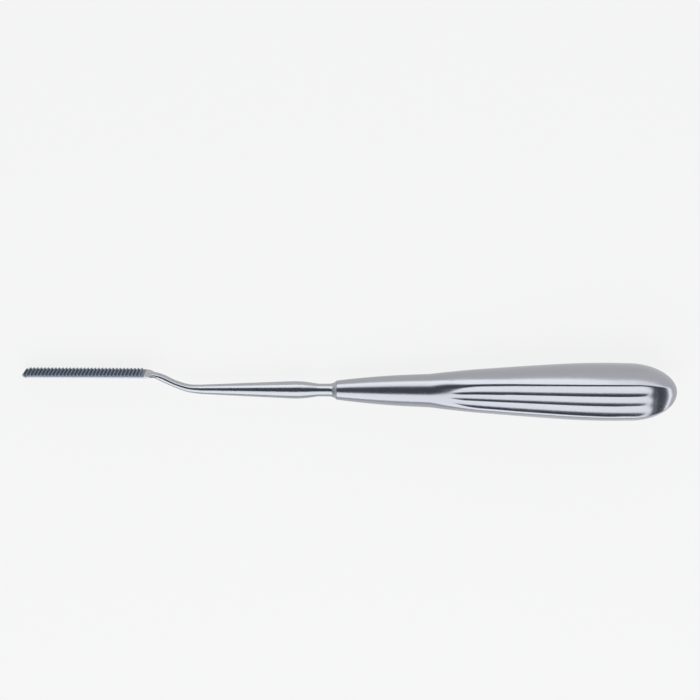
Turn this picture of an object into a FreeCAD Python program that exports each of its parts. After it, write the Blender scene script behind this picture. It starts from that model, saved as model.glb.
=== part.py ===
import FreeCAD, Part
import math
import os
import Sketcher

# Nasal rasp with a toothed plate, a bayonet shank and a fluted handle.
# Before the instrument is laid down, +X runs to the butt, the mouth of the handle is at x = 0,
# the teeth face +Y, and the fluted panels of the handle face +Z and -Z.

document = FreeCAD.newDocument("nasal_rasp")
sheet = document.addObject("Spreadsheet::Sheet", "sizes")

driving_sizes = [
    # Ferrule: the round front of the handle, as radii at places along it.
    ("mouthRadius", 3.12, "rim where the shank enters"),
    ("throatPlace", 5.0, "where the ferrule's fast flare ends"),
    ("throatRadius", 3.70, "radius there"),
    ("ferruleLength", 29.85, "mouth to the waist"),
    ("waistRadius", 5.40, "radius at the waist"),
    ("ferruleBelly", 0.26, "how far the middle of the ferrule stands out of a straight cone"),
    # Grip: sections from the round waist to the rounded square belly. Each place is a share of
    # the way from the waist to the dome.
    ("shoulderShare", 0.086, "first section with flats"),
    ("shoulderHalfWidth", 6.00, ""),
    ("shoulderHalfDepth", 5.52, ""),
    ("shoulderSideRadius", 6.9, ""),
    ("shoulderPanelRadius", 11.0, ""),
    ("shoulderPanelHalf", 2.5, "half the width of the panel"),
    ("frontShare", 0.197, "section where the flutes are cut in"),
    ("frontHalfWidth", 6.72, ""),
    ("frontHalfDepth", 5.92, ""),
    ("frontSideRadius", 8.3, ""),
    ("frontPanelRadius", 40.0, ""),
    ("frontPanelHalf", 3.4, ""),
    ("quarterShare", 0.351, ""),
    ("quarterHalfWidth", 7.42, ""),
    ("quarterHalfDepth", 6.60, ""),
    ("quarterSideRadius", 9.8, ""),
    ("quarterPanelRadius", 80.0, ""),
    ("quarterPanelHalf", 4.05, ""),
    ("middleShare", 0.554, ""),
    ("middleHalfWidth", 8.29, ""),
    ("middleHalfDepth", 7.62, ""),
    ("middleSideRadius", 12.0, ""),
    ("middlePanelRadius", 200.0, ""),
    ("middlePanelHalf", 4.55, ""),
    ("rearShare", 0.759, ""),
    ("rearHalfWidth", 8.93, ""),
    ("rearHalfDepth", 8.60, ""),
    ("rearSideRadius", 14.5, ""),
    ("rearPanelRadius", 400.0, ""),
    ("rearPanelHalf", 4.95, ""),
    ("bellyShare", 0.886, "widest section"),
    ("bellyHalfWidth", 9.04, ""),
    ("bellyHalfDepth", 8.92, ""),
    ("bellySideRadius", 15.5, ""),
    ("bellyPanelRadius", 500.0, ""),
    ("bellyPanelHalf", 5.12, ""),
    # Butt: a dome with an elliptical outline.
    ("handleLength", 108.85, "mouth to the end of the butt"),
    ("domeLength", 15.4, "length of the domed butt"),
    ("domeHalfWidth", 8.94, "at its start"),
    ("domeHalfDepth", 8.92, ""),
    ("domePanelHalf", 5.12, ""),
    ("domeSideBulge", 1.65, "side radius over half width at its start"),
    ("domePanelBulge", 12.0, "panel radius over half depth at its start"),
    ("domeTipBulge", 1.04, "both at the tip"),
    ("domeLastAngle", 86.0, "degrees round the ellipse to the small flat end"),
    # Flutes: three hollows side by side in each panel, with sharp arrises between them.
    ("fluteHalfAngle", 24.0, "degrees, half the arc of a flute's section"),
    ("flutedShare", 0.96, "share of the panel's width that the flutes take"),
    ("arrisDrop", 0.04, "how far the arrises lie under the panel"),
    ("fluteLead", 0.25, "height of the cutter over the panel before the flutes start"),
    ("fluteStartShare", 0.55, "share of the full depth at the front section"),
    ("fluteRunOut", 8.0, "how far the cutter runs on over the dome"),
    ("fluteRunFall", 0.35, "how far it sinks on that way"),
    # Socket for the tang.
    ("tangLength", 24.0, ""),
    ("tangRadius", 1.50, ""),
    ("socketClearance", 0.02, "on the radius"),
    ("socketEndGap", 0.5, ""),
    # Round shank, with its bulb, neck and the flared shoulder that closes the mouth.
    ("flareSweepRadius", 3.8, "hollow sweep of the shoulder that ends at the mouth's rim"),
    ("neckRadius", 2.07, ""),
    ("neckHollowRadius", 6.0, ""),
    ("bulbRadius", 2.83, ""),
    ("bulbCrownRadius", 35.0, ""),
    ("bulbFallAngle", 9.0, "degrees, bulb to neck"),
    ("taperAngle", 2.52, "degrees, bend to bulb"),
    ("shankRadius", 1.52, "at the end of the bend"),
    ("shankLength", 44.0, "mouth to the end of the bend"),
    # Bayonet bend, from the round shank up to the blade.
    ("bendAngle", 25.0, "degrees"),
    ("lowerBendRadius", 18.0, ""),
    ("upperBendRadius", 6.0, ""),
    ("bendHalfWidth", 1.50, "half width of the bar in the bend"),
    ("bendHalfThickness", 0.92, "half thickness of the bar at the top of the bend"),
    ("bendFootThickness", 0.71, "half thickness where the bar meets the blade"),
    ("bendRootInset", 0.04, "how far the end of the bar lies inside the faces of the blade"),
    ("bladeRise", 4.80, "shank axis to the flat back of the blade"),
    # Blade: the flat blank that carries the toothed plate.
    ("bladeWidth", 6.3, ""),
    ("bladeOverlap", 1.9, "how far the blade runs on past the start of the bend"),
    ("bladeLength", 42.8, "nose to the end of the blade"),
    ("noseRadius", 3.50, "arc of the nose seen from above the teeth"),
    ("blankThickness", 0.55, "under the toothed plate"),
    ("bladeCornerRadius", 2.6, "corners at the shank end of the blade"),
    # Toothed plate.
    ("plateThickness", 0.30, "under the roots of the teeth"),
    ("toothHeight", 0.55, ""),
    ("toothPitch", 1.17, ""),
    ("toothCount", 33, ""),
    ("toothLean", 0.14, "how far the steep face leans from tip to root"),
    ("firstTip", 1.1, "nose to the first tooth"),
    ("plateTail", 1.2, "last tooth to the end of the plate"),
    ("plateEndGap", 0.03, "between the plate and the blade's step"),
    ("noseLand", 0.15, "height of the upright edge under the bevelled nose"),
]

for row, (alias, value, note) in enumerate(driving_sizes, start=1):
    sheet.set(f"A{row}", alias)
    sheet.set(f"B{row}", str(value))
    sheet.setAlias(f"B{row}", alias)
    sheet.set(f"C{row}", note)
document.recompute()


def value_of(expression):
    """The number that an expression on the sheet gives."""
    result = sheet.evalExpression(expression)
    return float(getattr(result, "Value", result))


def cell(alias):
    return f"sizes.{alias}"


def new_body(label):
    body = document.addObject("PartDesign::Body", label)
    body.Label = label
    return body


def origin_plane(body, role):
    return next(plane for plane in body.Origin.OriginFeatures if plane.Role == role)


def new_sketch(body, name, role):
    sketch = body.newObject("Sketcher::SketchObject", name)
    sketch.AttachmentSupport = [(origin_plane(body, role), "")]
    sketch.MapMode = "FlatFace"
    return sketch


def constrain(sketch, name, constraint, expression):
    """Add a dimension whose value follows the sheet."""
    index = sketch.addConstraint(constraint)
    sketch.renameConstraint(index, name)
    sketch.setExpression(f"Constraints.{name}", expression)


def arc(centre, radius, start, end):
    circle = Part.Circle(FreeCAD.Vector(centre[0], centre[1], 0), FreeCAD.Vector(0, 0, 1), radius)
    return Part.ArcOfCircle(circle, start, end)


def section_plane(body, name, place, side="0", turn="0"):
    """A sketch across the instrument at x = place, moved to y = side and turned about Z."""
    sketch = new_sketch(body, name, "YZ_Plane")
    sketch.AttachmentOffset = FreeCAD.Placement(
        FreeCAD.Vector(value_of(side), 0, value_of(place)),
        FreeCAD.Rotation(FreeCAD.Vector(0, 1, 0), value_of(turn)),
    )
    sketch.setExpression("AttachmentOffset.Base.z", place)
    if side != "0":
        sketch.setExpression("AttachmentOffset.Base.x", side)
    if turn != "0":
        sketch.setExpression("AttachmentOffset.Rotation.Angle", turn)
    return sketch


def rounded_section(body, name, place, half_width, half_depth, side_radius, panel_radius,
                    panel_half, side="0", turn="0"):
    """Eight tangent arcs: two sides, two panels and the four corners that blend them."""
    sketch = section_plane(body, name, place, side, turn)
    width = value_of(half_width)
    depth = value_of(half_depth)
    flank = value_of(side_radius)
    panel = value_of(panel_radius)
    edge = value_of(panel_half)
    # The corner arc touches the panel arc at y = edge and the side arc wherever it meets it.
    lean = math.asin(edge / panel)
    normal = (math.sin(lean), math.cos(lean))
    reach = (flank - width + panel * normal[0], depth - panel + panel * normal[1])
    corner = ((reach[0] ** 2 + reach[1] ** 2 - flank ** 2)
              / (2 * (reach[0] * normal[0] + reach[1] * normal[1] - flank)))
    centre = ((panel - corner) * normal[0], depth - panel + (panel - corner) * normal[1])
    rise = math.atan2(centre[1], centre[0] + flank - width)
    top = math.pi / 2
    sketch.addGeometry([
        arc((width - flank, 0), flank, -rise, rise),
        arc(centre, corner, rise, top - lean),
        arc((0, depth - panel), panel, top - lean, top + lean),
        arc((-centre[0], centre[1]), corner, top + lean, math.pi - rise),
        arc((flank - width, 0), flank, math.pi - rise, math.pi + rise),
        arc((-centre[0], -centre[1]), corner, math.pi + rise, 3 * top - lean),
        arc((0, panel - depth), panel, 3 * top - lean, 3 * top + lean),
        arc((centre[0], -centre[1]), corner, 3 * top + lean, 2 * math.pi - rise),
    ], False)
    right, top_panel, left, low_panel = 0, 2, 4, 6
    for piece in range(8):
        sketch.addConstraint(Sketcher.Constraint("Tangent", piece, 2, (piece + 1) % 8, 1))
    for flat in (right, left):
        sketch.addConstraint(Sketcher.Constraint("PointOnObject", flat, 3, -1))
    for flat in (top_panel, low_panel):
        sketch.addConstraint(Sketcher.Constraint("PointOnObject", flat, 3, -2))
    for first, second in ((right, left), (top_panel, low_panel), (1, 3), (1, 5), (1, 7)):
        sketch.addConstraint(Sketcher.Constraint("Equal", first, second))
    constrain(sketch, "sideRadius", Sketcher.Constraint("Radius", right, flank), side_radius)
    constrain(sketch, "panelRadius", Sketcher.Constraint("Radius", top_panel, panel), panel_radius)
    inset = f"{side_radius} - {half_width}"
    drop = f"{panel_radius} - {half_depth}"
    constrain(sketch, "rightInset",
              Sketcher.Constraint("DistanceX", right, 3, -1, 1, flank - width), inset)
    constrain(sketch, "leftInset",
              Sketcher.Constraint("DistanceX", -1, 1, left, 3, flank - width), inset)
    constrain(sketch, "topDrop",
              Sketcher.Constraint("DistanceY", top_panel, 3, -1, 1, panel - depth), drop)
    constrain(sketch, "lowDrop",
              Sketcher.Constraint("DistanceY", -1, 1, low_panel, 3, panel - depth), drop)
    constrain(sketch, "panelHalf",
              Sketcher.Constraint("DistanceX", -1, 1, top_panel, 1, edge), panel_half)
    return sketch


def round_section(body, name, place, radius, edge_share, side="0", turn="0"):
    """A circle drawn as eight arcs, whose ends face those of the rounded sections."""
    sketch = section_plane(body, name, place, side, turn)
    size = value_of(radius)
    edge = f"({radius}) * {edge_share}"
    lean = math.asin(edge_share)
    top = math.pi / 2
    stops = [-lean, lean, top - lean, top + lean, math.pi - lean, math.pi + lean,
             3 * top - lean, 3 * top + lean, 2 * math.pi - lean]
    sketch.addGeometry([arc((0, 0), size, start, end)
                        for start, end in zip(stops[:-1], stops[1:])], False)
    for piece in range(8):
        sketch.addConstraint(Sketcher.Constraint("Coincident", piece, 2, (piece + 1) % 8, 1))
    for piece in range(7):
        sketch.addConstraint(Sketcher.Constraint("Coincident", piece, 3, -1, 1))
    sketch.addConstraint(Sketcher.Constraint("PointOnObject", 7, 3, -1))
    constrain(sketch, "radius", Sketcher.Constraint("Radius", 0, size), radius)
    reach = size * edge_share
    ends = [("DistanceY", -1, 1, 0, 2), ("DistanceX", -1, 1, 2, 1), ("DistanceX", 2, 2, -1, 1),
            ("DistanceY", -1, 1, 4, 1), ("DistanceY", 4, 2, -1, 1), ("DistanceX", 6, 1, -1, 1),
            ("DistanceX", -1, 1, 6, 2), ("DistanceY", 0, 1, -1, 1)]
    for number, (kind, *points) in enumerate(ends):
        constrain(sketch, f"edge{number}", Sketcher.Constraint(kind, *points, reach), edge)
    return sketch


def loft(body, kind, name, sections):
    feature = body.newObject(f"PartDesign::{kind}", name)
    feature.Profile = sections[0]
    feature.Sections = sections[1:]
    feature.Refine = False
    return feature


def closed_outline(sketch, points):
    """Straight sides through the points, joined end to end. Returns the index of the first."""
    corners = [FreeCAD.Vector(x, y, 0) for x, y in points]
    first = sketch.GeometryCount
    count = len(corners)
    sketch.addGeometry([Part.LineSegment(corners[number], corners[(number + 1) % count])
                        for number in range(count)], False)
    for number in range(count):
        sketch.addConstraint(Sketcher.Constraint(
            "Coincident", first + number, 2, first + (number + 1) % count, 1))
    return first


def place_point(sketch, name, geometry, end, x, y):
    """Hold one point of a sketch at two expressions, measured from the origin."""
    for axis, expression in (("X", x), ("Y", y)):
        number = value_of(expression)
        if abs(number) < 1e-9 and expression == "0":
            target = -2 if axis == "X" else -1
            sketch.addConstraint(Sketcher.Constraint("PointOnObject", geometry, end, target))
        elif number >= 0:
            constrain(sketch, f"{name}{axis}",
                      Sketcher.Constraint(f"Distance{axis}", -1, 1, geometry, end, number), expression)
        else:
            constrain(sketch, f"{name}{axis}",
                      Sketcher.Constraint(f"Distance{axis}", geometry, end, -1, 1, -number),
                      f"-({expression})")


def held_outline(sketch, points):
    """A closed outline of straight sides whose corners all follow the sheet."""
    numbers = [(value_of(x), value_of(y)) for x, y in points]
    first = closed_outline(sketch, numbers)
    for number, (x, y) in enumerate(points):
        place_point(sketch, f"corner{number}", first + number, 1, x, y)


# Handle

grip_stations = ["shoulder", "front", "quarter", "middle", "rear", "belly"]
dome_start = "sizes.handleLength - sizes.domeLength"
dome_steps = 6
round_edge = 0.45


def station_place(station):
    return f"(sizes.ferruleLength + sizes.{station}Share * ({dome_start} - sizes.ferruleLength))"


def revolve_about_x(body, kind, name, sketch):
    feature = body.newObject(f"PartDesign::{kind}", name)
    feature.Profile = sketch
    feature.ReferenceAxis = (sketch, ["H_Axis"])
    feature.Angle = 360.0
    return feature


def add_ferrule(body):
    """The round front of the handle: a short flare, then two cones that meet in a slight belly."""
    sketch = new_sketch(body, "ferrule_profile", "XY_Plane")
    middle_place = "((sizes.throatPlace + sizes.ferruleLength) / 2)"
    middle_radius = "((sizes.throatRadius + sizes.waistRadius) / 2 + sizes.ferruleBelly)"
    held_outline(sketch, [
        ("0", "0"), ("0", cell("mouthRadius")), (cell("throatPlace"), cell("throatRadius")),
        (middle_place, middle_radius), (cell("ferruleLength"), cell("waistRadius")),
        (cell("ferruleLength"), "0")])
    revolve_about_x(body, "Revolution", "ferrule", sketch)


def add_grip(body):
    """The grip: straight tapers from the round waist through the rounded squares, then the dome."""
    sections = [round_section(body, "waist_section", cell("ferruleLength"),
                              cell("waistRadius"), round_edge)]
    for station in grip_stations:
        sections.append(rounded_section(
            body, f"{station}_section", station_place(station), cell(f"{station}HalfWidth"),
            cell(f"{station}HalfDepth"), cell(f"{station}SideRadius"),
            cell(f"{station}PanelRadius"), cell(f"{station}PanelHalf")))
    # The dome's outline is an ellipse, so its sections stand at even angles round it.
    dome_sections = []
    for step in range(dome_steps + 1):
        angle = f"(sizes.domeLastAngle * {step} / {dome_steps} * 1 deg)"
        shrink = f"cos({angle})"
        tip = "sizes.domeTipBulge"
        width = f"sizes.domeHalfWidth * {shrink}"
        depth = f"sizes.domeHalfDepth * {shrink}"
        # The flats fade towards a plain round tip, the panels sooner than the sides.
        dome_sections.append(rounded_section(
            body, f"dome_section_{step}", f"{dome_start} + sizes.domeLength * sin({angle})",
            width, depth,
            f"{width} * ({tip} + (sizes.domeSideBulge - {tip}) * {shrink})",
            f"{depth} * ({tip} + (sizes.domePanelBulge - {tip}) * {shrink}^4)",
            f"sizes.domePanelHalf * {shrink}"))
    grip = loft(body, "AdditiveLoft", "grip", sections + dome_sections[:1])
    grip.Ruled = True
    document.recompute()
    loft(body, "AdditiveLoft", "dome", dome_sections)


def add_flutes(body):
    """Three hollows cut along the upper panel and mirrored to the lower one."""
    flutes = []
    for number in (-1, 0, 1):
        sections = []
        for station in grip_stations + ["dome", "exit"]:
            source = "dome" if station == "exit" else station
            pitch = f"sizes.{source}PanelHalf * 2 / 3 * sizes.flutedShare"
            radius = f"{pitch} / 2 / sin(sizes.fluteHalfAngle * 1 deg)"
            full = f"({radius}) * (1 - cos(sizes.fluteHalfAngle * 1 deg)) + sizes.arrisDrop"
            sink = full
            if station == "shoulder":
                sink = "-sizes.fluteLead"
            if station == "front":
                sink = f"({full}) * sizes.fluteStartShare"
            if source == "dome":
                place = dome_start
                panel = "sizes.domeHalfDepth * sizes.domePanelBulge"
            else:
                place = station_place(station)
                panel = cell(f"{station}PanelRadius")
            if station == "exit":
                place = f"{dome_start} + sizes.fluteRunOut"
            sag = f"({number} * {pitch})^2 / (2 * ({panel}))"
            height = f"sizes.{source}HalfDepth - {sag} - ({sink}) + {radius}"
            if station == "exit":
                height = f"{height} - sizes.fluteRunFall"
            sketch = section_plane(body, f"flute_{number + 2}_{station}", place)
            centre = FreeCAD.Vector(number * value_of(pitch), value_of(height), 0)
            sketch.addGeometry(Part.Circle(centre, FreeCAD.Vector(0, 0, 1), value_of(radius)), False)
            constrain(sketch, "radius", Sketcher.Constraint("Radius", 0, value_of(radius)), radius)
            place_point(sketch, "centre", 0, 3, "0" if number == 0 else f"{number} * {pitch}", height)
            sections.append(sketch)
        flute = loft(body, "SubtractiveLoft", f"flute_{number + 2}", sections)
        flute.Ruled = True
        flutes.append(flute)
        document.recompute()
    mirrored = body.newObject("PartDesign::Mirrored", "lower_flutes")
    mirrored.Originals = flutes
    mirrored.MirrorPlane = (origin_plane(body, "XY_Plane"), [""])
    mirrored.Refine = False
    body.Tip = mirrored


def add_socket(body):
    """The blind bore that takes the tang."""
    sketch = new_sketch(body, "socket_profile", "XY_Plane")
    depth = "sizes.tangLength + sizes.socketEndGap"
    radius = "sizes.tangRadius + sizes.socketClearance"
    held_outline(sketch, [("0", "0"), (depth, "0"), (depth, radius), ("0", radius)])
    revolve_about_x(body, "Groove", "socket", sketch)


def make_handle():
    body = new_body("handle")
    add_ferrule(body)
    add_grip(body)
    document.recompute()
    add_flutes(body)
    add_socket(body)
    document.recompute()
    return body


# Blade and shank

# Places along the bend, from the flat blade down to the axis of the shank.
blade_core = "sizes.bladeRise + (sizes.blankThickness + sizes.plateThickness) / 2"
bend = "sizes.bendAngle * 1 deg"
straight_drop = (f"({blade_core} - (sizes.lowerBendRadius + sizes.upperBendRadius)"
                 f" * (1 - cos({bend})))")
lower_end = "-sizes.shankLength"
straight_low = f"({lower_end} - sizes.lowerBendRadius * sin({bend}))"
straight_high = f"({straight_low} - {straight_drop} / tan({bend}))"
blade_start = f"({straight_high} - sizes.upperBendRadius * sin({bend}))"
blade_end = f"({blade_start} + sizes.bladeOverlap)"
nose = f"({blade_end} - sizes.bladeLength)"
first_tip = f"({nose} + sizes.firstTip)"
last_tip = f"({first_tip} + (sizes.toothCount - 1) * sizes.toothPitch)"
step_place = f"({last_tip} + sizes.plateTail + sizes.plateEndGap)"
seat_level = "(sizes.bladeRise + sizes.blankThickness)"
root_level = f"({seat_level} + sizes.plateThickness)"
tip_level = f"({root_level} + sizes.toothHeight)"
half_blade = "sizes.bladeWidth / 2"


def add_shank(body):
    """Round shank turned in one: taper, bulb, neck, flared shoulder and tang."""
    sketch = new_sketch(body, "shank_profile", "XY_Plane")
    taper = math.radians(value_of("sizes.taperAngle"))
    fall = math.radians(value_of("sizes.bulbFallAngle"))
    start = (-value_of("sizes.shankLength"), value_of("sizes.shankRadius"))
    crown = value_of("sizes.bulbCrownRadius")
    hollow = value_of("sizes.neckHollowRadius")
    sweep = value_of("sizes.flareSweepRadius")
    neck = value_of("sizes.neckRadius")
    rim = value_of("sizes.mouthRadius")
    tang = value_of("sizes.tangRadius")
    length = value_of("sizes.tangLength")
    top = math.pi / 2
    crown_level = value_of("sizes.bulbRadius") - crown
    rise_end_y = crown_level + crown * math.cos(taper)
    rise_end_x = start[0] + (rise_end_y - start[1]) / math.tan(taper)
    crown_x = rise_end_x + crown * math.sin(taper)
    fall_start = (crown_x + crown * math.sin(fall), crown_level + crown * math.cos(fall))
    fall_end_y = neck + hollow * (1 - math.cos(fall))
    fall_end_x = fall_start[0] + (fall_start[1] - fall_end_y) / math.tan(fall)
    hollow_x = fall_end_x + hollow * math.sin(fall)
    sweep_angle = math.acos(1 - (rim - neck) / sweep)
    sweep_x = -sweep * math.sin(sweep_angle)

    def point(x, y):
        return FreeCAD.Vector(x, y, 0)

    sketch.addGeometry([
        Part.LineSegment(point(*start), point(rise_end_x, rise_end_y)),
        arc((crown_x, crown_level), crown, top - fall, top + taper),
        Part.LineSegment(point(*fall_start), point(fall_end_x, fall_end_y)),
        arc((hollow_x, neck + hollow), hollow, 3 * top - fall, 3 * top),
        Part.LineSegment(point(hollow_x, neck), point(sweep_x, neck)),
        arc((sweep_x, neck + sweep), sweep, 3 * top, 3 * top + sweep_angle),
        Part.LineSegment(point(0, rim), point(0, tang)),
        Part.LineSegment(point(0, tang), point(length, tang)),
        Part.LineSegment(point(length, tang), point(length, 0)),
        Part.LineSegment(point(length, 0), point(start[0], 0)),
        Part.LineSegment(point(start[0], 0), point(*start)),
    ], False)
    rise, bulb, drop, hollow_arc, neck_line, flare, seat, tang_side, tang_end, axis, front = range(11)
    for first, first_end, second, second_end in (
            (rise, 2, bulb, 2), (bulb, 1, drop, 1), (drop, 2, hollow_arc, 1),
            (hollow_arc, 2, neck_line, 1), (neck_line, 2, flare, 1)):
        sketch.addConstraint(Sketcher.Constraint("Tangent", first, first_end, second, second_end))
    for first, second in ((flare, seat), (seat, tang_side), (tang_side, tang_end),
                          (tang_end, axis), (axis, front), (front, rise)):
        sketch.addConstraint(Sketcher.Constraint("Coincident", first, 2, second, 1))
    for line in (seat, tang_end, front):
        sketch.addConstraint(Sketcher.Constraint("Vertical", line))
    for line in (neck_line, tang_side):
        sketch.addConstraint(Sketcher.Constraint("Horizontal", line))
    sketch.addConstraint(Sketcher.Constraint("PointOnObject", axis, 1, -1))
    sketch.addConstraint(Sketcher.Constraint("PointOnObject", axis, 2, -1))
    sketch.addConstraint(Sketcher.Constraint("PointOnObject", seat, 1, -2))
    place_point(sketch, "start", rise, 1, "-sizes.shankLength", cell("shankRadius"))
    constrain(sketch, "taperAngle", Sketcher.Constraint("Angle", rise, taper),
              "sizes.taperAngle * 1 deg")
    constrain(sketch, "fallAngle", Sketcher.Constraint("Angle", drop, -fall),
              "-sizes.bulbFallAngle * 1 deg")
    constrain(sketch, "crownRadius", Sketcher.Constraint("Radius", bulb, crown),
              cell("bulbCrownRadius"))
    constrain(sketch, "crownLevel", Sketcher.Constraint("DistanceY", bulb, 3, -1, 1, -crown_level),
              "sizes.bulbCrownRadius - sizes.bulbRadius")
    constrain(sketch, "hollowRadius", Sketcher.Constraint("Radius", hollow_arc, hollow),
              cell("neckHollowRadius"))
    constrain(sketch, "neckRadius", Sketcher.Constraint("DistanceY", -1, 1, neck_line, 2, neck),
              cell("neckRadius"))
    constrain(sketch, "sweepRadius", Sketcher.Constraint("Radius", flare, sweep),
              cell("flareSweepRadius"))
    constrain(sketch, "rimRadius", Sketcher.Constraint("DistanceY", -1, 1, seat, 1, rim),
              cell("mouthRadius"))
    constrain(sketch, "tangRadius", Sketcher.Constraint("DistanceY", -1, 1, tang_side, 2, tang),
              cell("tangRadius"))
    constrain(sketch, "tangLength", Sketcher.Constraint("DistanceX", -1, 1, tang_side, 2, length),
              cell("tangLength"))
    revolve_about_x(body, "Revolution", "shank", sketch)


def add_bend(body):
    """The bar of the bayonet: a loft that turns off the shank's axis and back along the blade."""
    lift = f"sizes.lowerBendRadius * (1 - cos({bend}))"
    half_bend = f"({bend} / 2)"
    bar = "sizes.bendHalfThickness"
    swell = f"(sizes.shankRadius - {bar})"
    root = "((sizes.blankThickness + sizes.plateThickness) / 2 - sizes.bendRootInset)"
    sections = [
        round_section(body, "bend_section_0", lower_end, cell("shankRadius"), round_edge),
        bar_section(body, 1, f"{lower_end} - sizes.lowerBendRadius * sin({half_bend})",
                    f"sizes.lowerBendRadius * (1 - cos({half_bend}))", half_bend,
                    f"({bar} + {swell} / 2)"),
        bar_section(body, 2, straight_low, lift, bend, f"({bar} + {swell} / 4)"),
        bar_section(body, 3, straight_high, f"({lift} + {straight_drop})", bend, bar),
        bar_section(body, 4, f"{blade_start} + sizes.upperBendRadius * sin({half_bend})",
                    f"({blade_core} - sizes.upperBendRadius * (1 - cos({half_bend})))",
                    half_bend, cell("bendFootThickness")),
        bar_section(body, 5, blade_start, f"({blade_core})", "0", root),
    ]
    loft(body, "AdditiveLoft", "bend", sections)


def bar_section(body, number, place, side, turn, depth):
    """A flat oval across the bar, with fuller flanks than an ellipse."""
    width = cell("bendHalfWidth")
    return rounded_section(
        body, f"bend_section_{number}", place, depth, width, f"{width}^2 / {depth} * 1.5",
        f"{width} * 0.84", f"{depth} * 0.47", side, turn if turn == "0" else f"-({turn})")


def blade_outline(body, name, level, end, round_corners):
    """Outline of the blade seen from above the teeth: round nose, straight sides, square or
    rounded far end. The sketch lies at y = level."""
    sketch = new_sketch(body, name, "XZ_Plane")
    sketch.AttachmentOffset = FreeCAD.Placement(FreeCAD.Vector(0, 0, -value_of(level)),
                                                FreeCAD.Rotation())
    sketch.setExpression("AttachmentOffset.Base.z", f"-({level})")
    tip_x = value_of(nose)
    end_x = value_of(end)
    half = value_of(half_blade)
    radius = value_of("sizes.noseRadius")
    lean = math.asin(half / radius)
    start_x = tip_x + radius * (1 - math.cos(lean))
    corner = value_of("sizes.bladeCornerRadius") if round_corners else 0.0

    def point(x, y):
        return FreeCAD.Vector(x, y, 0)

    pieces = [arc((tip_x + radius, 0), radius, math.pi - lean, math.pi + lean),
              Part.LineSegment(point(start_x, -half), point(end_x - corner, -half))]
    if round_corners:
        pieces.append(arc((end_x - corner, corner - half), corner, -math.pi / 2, 0))
    pieces.append(Part.LineSegment(point(end_x, corner - half), point(end_x, half - corner)))
    if round_corners:
        pieces.append(arc((end_x - corner, half - corner), corner, 0, math.pi / 2))
    pieces.append(Part.LineSegment(point(end_x - corner, half), point(start_x, half)))
    sketch.addGeometry(pieces, False)
    count = len(pieces)
    smooth = {(1, 2), (2, 3), (3, 4), (4, 5)} if round_corners else set()
    for number in range(count):
        following = (number + 1) % count
        kind = "Tangent" if (number, following) in smooth else "Coincident"
        sketch.addConstraint(Sketcher.Constraint(kind, number, 2, following, 1))
    low_side, far_end, high_side = (1, 3, 5) if round_corners else (1, 2, 3)
    sketch.addConstraint(Sketcher.Constraint("Horizontal", low_side))
    sketch.addConstraint(Sketcher.Constraint("Vertical", far_end))
    sketch.addConstraint(Sketcher.Constraint("Horizontal", high_side))
    sketch.addConstraint(Sketcher.Constraint("PointOnObject", 0, 3, -1))
    if round_corners:
        sketch.addConstraint(Sketcher.Constraint("Equal", 2, 4))
        constrain(sketch, "cornerRadius", Sketcher.Constraint("Radius", 2, corner),
                  cell("bladeCornerRadius"))
    constrain(sketch, "noseRadius", Sketcher.Constraint("Radius", 0, radius), cell("noseRadius"))
    constrain(sketch, "noseCentre",
              Sketcher.Constraint("DistanceX", 0, 3, -1, 1, -(tip_x + radius)),
              f"-({nose} + sizes.noseRadius)")
    constrain(sketch, "highSide", Sketcher.Constraint("DistanceY", -1, 1, high_side, 1, half),
              half_blade)
    constrain(sketch, "lowSide", Sketcher.Constraint("DistanceY", low_side, 1, -1, 1, half),
              half_blade)
    constrain(sketch, "farEnd", Sketcher.Constraint("DistanceX", far_end, 1, -1, 1, -end_x),
              f"-({end})")
    return sketch


def pad_up(body, name, sketch, thickness):
    """Thicken an outline towards the teeth, +Y."""
    pad = body.newObject("PartDesign::Pad", name)
    pad.Profile = sketch
    pad.Length = value_of(thickness)
    pad.setExpression("Length", thickness)
    pad.Reversed = True
    return pad


def cut_across(body, name, points):
    """Cut a side-view outline right through the width of the blade."""
    sketch = new_sketch(body, f"{name}_profile", "XY_Plane")
    held_outline(sketch, points)
    pocket = body.newObject("PartDesign::Pocket", name)
    pocket.Profile = sketch
    pocket.Type = "Length"
    pocket.Midplane = True
    pocket.Length = 2 * value_of("sizes.bladeWidth")
    pocket.setExpression("Length", "2 * sizes.bladeWidth")
    return pocket


def bevel_nose(body):
    """The nose slopes from just above its back edge to the tip of the first tooth."""
    slope = f"(sizes.firstTip / (({tip_level}) - sizes.bladeRise - sizes.noseLand))"
    low = "(sizes.bladeRise + sizes.noseLand)"
    high = f"({tip_level} + 1)"
    run = f"({nose} + {slope} * ({high} - {low}))"
    cut_across(body, "nose_bevel", [
        (nose, low), (run, high), (f"({nose} - 1)", high), (f"({nose} - 1)", low)])


def make_blade_shank():
    body = new_body("blade_shank")
    add_shank(body)
    add_bend(body)
    outline = blade_outline(body, "blade_outline", "sizes.bladeRise", blade_end, True)
    pad_up(body, "blade", outline, "sizes.blankThickness + sizes.plateThickness")
    beyond = f"({nose} - 1)"
    cut_across(body, "plate_seat", [
        (beyond, seat_level), (step_place, seat_level),
        (step_place, f"({tip_level} + 1)"), (beyond, f"({tip_level} + 1)")])
    bevel_nose(body)
    document.recompute()
    return body


# Toothed plate

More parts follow.
